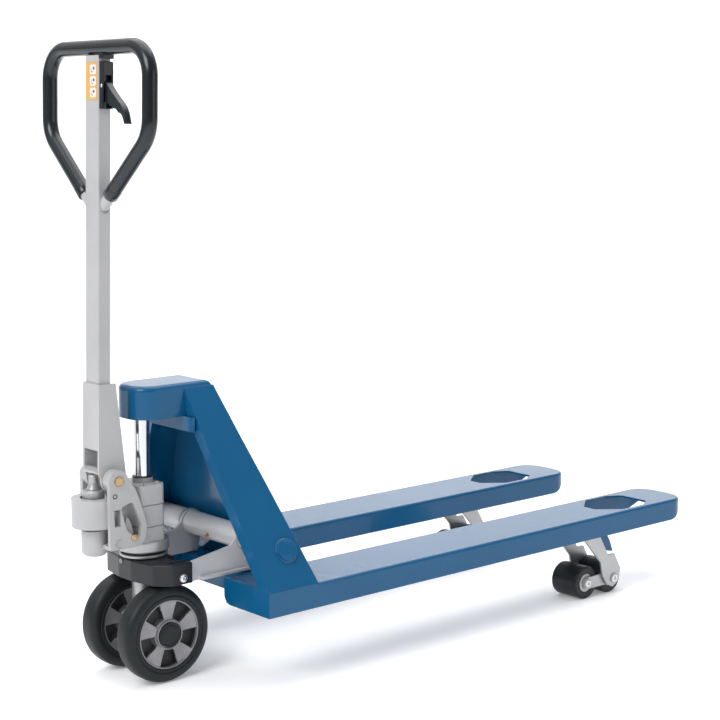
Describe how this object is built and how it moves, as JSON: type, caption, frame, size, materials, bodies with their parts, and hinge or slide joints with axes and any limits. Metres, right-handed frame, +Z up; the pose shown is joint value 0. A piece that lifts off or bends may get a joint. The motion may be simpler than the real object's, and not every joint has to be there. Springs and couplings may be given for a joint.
{
  "type": "hand pallet truck",
  "caption": "Manual hydraulic pallet truck with blue forks raised, grey pump and draw handle, steering wheels and tandem load rollers under the fork tips.",
  "frame": {"origin": "on the floor, at the middle of the length and width with the forks raised", "axes": "+X towards the fork tips, +Y to the left seen from the handle, +Z up"},
  "size_m": [1.5739, 0.54, 1.278],
  "materials": {
    "blue_paint": "gloss",
    "grey_paint": "satin",
    "black_casting": "satin",
    "zinc_steel": "satin",
    "chromed_ram": "polished",
    "brass": "satin",
    "black_nylon": "matte",
    "black_rubber": "matte",
    "black_plastic": "satin",
    "cast_aluminium": "satin"
  },
  "bodies": {
    "frame": {"fork_right": "blue_paint", "fork_left": "blue_paint", "heel_plates": "blue_paint", "side_plates": "blue_paint", "load_backrest": "blue_paint", "cross_channel": "blue_paint", "head_box": "blue_paint", "head_gusset": "blue_paint", "lift_ram": "chromed_ram", "pivot_bosses": "blue_paint", "rocker_pins": "zinc_steel", "bracket_pivot_pins": "zinc_steel"},
    "rocker": {"rocker_tube": "zinc_steel", "rocker_arms": "zinc_steel", "rod_levers": "zinc_steel"},
    "rod_right": {"push_rod_right": "zinc_steel"},
    "rod_left": {"push_rod_left": "zinc_steel"},
    "crosshead": {"crosshead": "black_casting", "crosshead_bolts": "zinc_steel"},
    "steering": {"pump_body": "grey_paint", "gland_nut": "zinc_steel", "base_flange": "zinc_steel", "thrust_bearing": "black_casting", "steer_stem": "zinc_steel", "wheel_axle": "zinc_steel", "handle_bracket": "grey_paint", "pump_cylinder": "grey_paint", "pivot_plugs": "brass", "plunger_spring": "zinc_steel"},
    "plunger": {"plunger": "zinc_steel"},
    "release": {"release_lever": "grey_paint"},
    "wheel_right": {"wheel_rim_right": "cast_aluminium", "wheel_tyre_right": "black_rubber"},
    "wheel_left": {"wheel_rim_left": "cast_aluminium", "wheel_tyre_left": "black_rubber"},
    "handle": {"handle_tube": "grey_paint", "handle_loop": "grey_paint", "handle_grip": "black_plastic", "handle_yoke": "grey_paint", "pump_roller": "zinc_steel", "lever_housing": "black_plastic"},
    "control_lever": {"control_lever": "black_plastic"},
    "bracket_right": {"roller_bracket_right": "zinc_steel", "bracket_gusset_right": "blue_paint", "front_axle_right": "zinc_steel"},
    "bogie_right": {"bogie_link_right": "zinc_steel", "rear_axle_right": "zinc_steel"},
    "front_roller_right": {"load_roller_front_right": "black_nylon", "roller_core_front_right": "zinc_steel"},
    "rear_roller_right": {"load_roller_rear_right": "black_nylon", "roller_core_rear_right": "zinc_steel"},
    "bracket_left": {"roller_bracket_left": "zinc_steel", "bracket_gusset_left": "blue_paint", "front_axle_left": "zinc_steel"},
    "bogie_left": {"bogie_link_left": "zinc_steel", "rear_axle_left": "zinc_steel"},
    "front_roller_left": {"load_roller_front_left": "black_nylon", "roller_core_front_left": "zinc_steel"},
    "rear_roller_left": {"load_roller_rear_left": "black_nylon", "roller_core_rear_left": "zinc_steel"}
  },
  "joints": [
    {"name": "lowering", "type": "slide", "parent": "frame", "child": "crosshead", "axis": [0, 0, 1], "range_m": [0, 0.115]},
    {"name": "rocker_swing", "type": "hinge", "parent": "frame", "child": "rocker", "pos_m": [-0.442, 0, 0.269], "axis": [0, 1, 0], "range_deg": [0, 37.84]},
    {"name": "steering_swivel", "type": "hinge", "parent": "crosshead", "child": "steering", "pos_m": [-0.628, 0, 0.1], "axis": [0, 0, 1], "range_deg": [-90, 90]},
    {"name": "rod_slide_right", "type": "slide", "parent": "frame", "child": "rod_right", "axis": [-1, 0, 0], "range_m": [0, 0.0238]},
    {"name": "bracket_swing_right", "type": "hinge", "parent": "frame", "child": "bracket_right", "pos_m": [0.456, -0.209, 0.16], "axis": [0, -1, 0], "range_deg": [0, 56.82]},
    {"name": "bogie_level_right", "type": "hinge", "parent": "bracket_right", "child": "bogie_right", "pos_m": [0.528, -0.209, 0.039], "axis": [0, 1, 0], "range_deg": [0, 56.82]},
    {"name": "front_roller_spin_right", "type": "hinge", "parent": "bracket_right", "child": "front_roller_right", "pos_m": [0.528, -0.209, 0.039], "axis": [0, 1, 0], "continuous": true},
    {"name": "rear_roller_spin_right", "type": "hinge", "parent": "bogie_right", "child": "rear_roller_right", "pos_m": [0.444, -0.209, 0.039], "axis": [0, 1, 0], "continuous": true},
    {"name": "wheel_spin_right", "type": "hinge", "parent": "steering", "child": "wheel_right", "pos_m": [-0.628, -0.065, 0.1], "axis": [0, 1, 0], "continuous": true},
    {"name": "rod_slide_left", "type": "slide", "parent": "frame", "child": "rod_left", "axis": [-1, 0, 0], "range_m": [0, 0.0238]},
    {"name": "bracket_swing_left", "type": "hinge", "parent": "frame", "child": "bracket_left", "pos_m": [0.456, 0.209, 0.16], "axis": [0, -1, 0], "range_deg": [0, 56.82]},
    {"name": "bogie_level_left", "type": "hinge", "parent": "bracket_left", "child": "bogie_left", "pos_m": [0.528, 0.209, 0.039], "axis": [0, 1, 0], "range_deg": [0, 56.82]},
    {"name": "front_roller_spin_left", "type": "hinge", "parent": "bracket_left", "child": "front_roller_left", "pos_m": [0.528, 0.209, 0.039], "axis": [0, 1, 0], "continuous": true},
    {"name": "rear_roller_spin_left", "type": "hinge", "parent": "bogie_left", "child": "rear_roller_left", "pos_m": [0.444, 0.209, 0.039], "axis": [0, 1, 0], "continuous": true},
    {"name": "wheel_spin_left", "type": "hinge", "parent": "steering", "child": "wheel_left", "pos_m": [-0.628, 0.065, 0.1], "axis": [0, 1, 0], "continuous": true},
    {"name": "handle_swing", "type": "hinge", "parent": "steering", "child": "handle", "pos_m": [-0.719, 0, 0.421], "axis": [0, -1, 0], "range_deg": [0, 80]},
    {"name": "plunger_stroke", "type": "slide", "parent": "steering", "child": "plunger", "axis": [0, 0, -1], "range_m": [0, 0.03692], "deforming": ["plunger_spring"]},
    {"name": "control_lever_swing", "type": "hinge", "parent": "handle", "child": "control_lever", "pos_m": [-0.71193, -0.031, 1.19007], "axis": [0.9997, 0, -0.0258], "range_deg": [-12, 12]},
    {"name": "release_swing", "type": "hinge", "parent": "steering", "child": "release", "pos_m": [-0.686, 0, 0.303], "axis": [0, 1, 0], "range_deg": [-8, 8]}
  ],
  "couplings": [
    {"joint": "rocker_swing", "follows": "lowering", "rad_per_m": 5.7406},
    {"joint": "rod_slide_right", "follows": "lowering", "ratio": 0.2068},
    {"joint": "bracket_swing_right", "follows": "lowering", "rad_per_m": 8.6209},
    {"joint": "bogie_level_right", "follows": "lowering", "rad_per_m": 8.6209},
    {"joint": "rod_slide_left", "follows": "lowering", "ratio": 0.2068},
    {"joint": "bracket_swing_left", "follows": "lowering", "rad_per_m": 8.6209},
    {"joint": "bogie_level_left", "follows": "lowering", "rad_per_m": 8.6209},
    {"joint": "plunger_stroke", "follows": "handle_swing", "m_per_rad": 0.02643},
    {"joint": "release_swing", "follows": "control_lever_swing", "ratio": 0.6666}
  ]
}
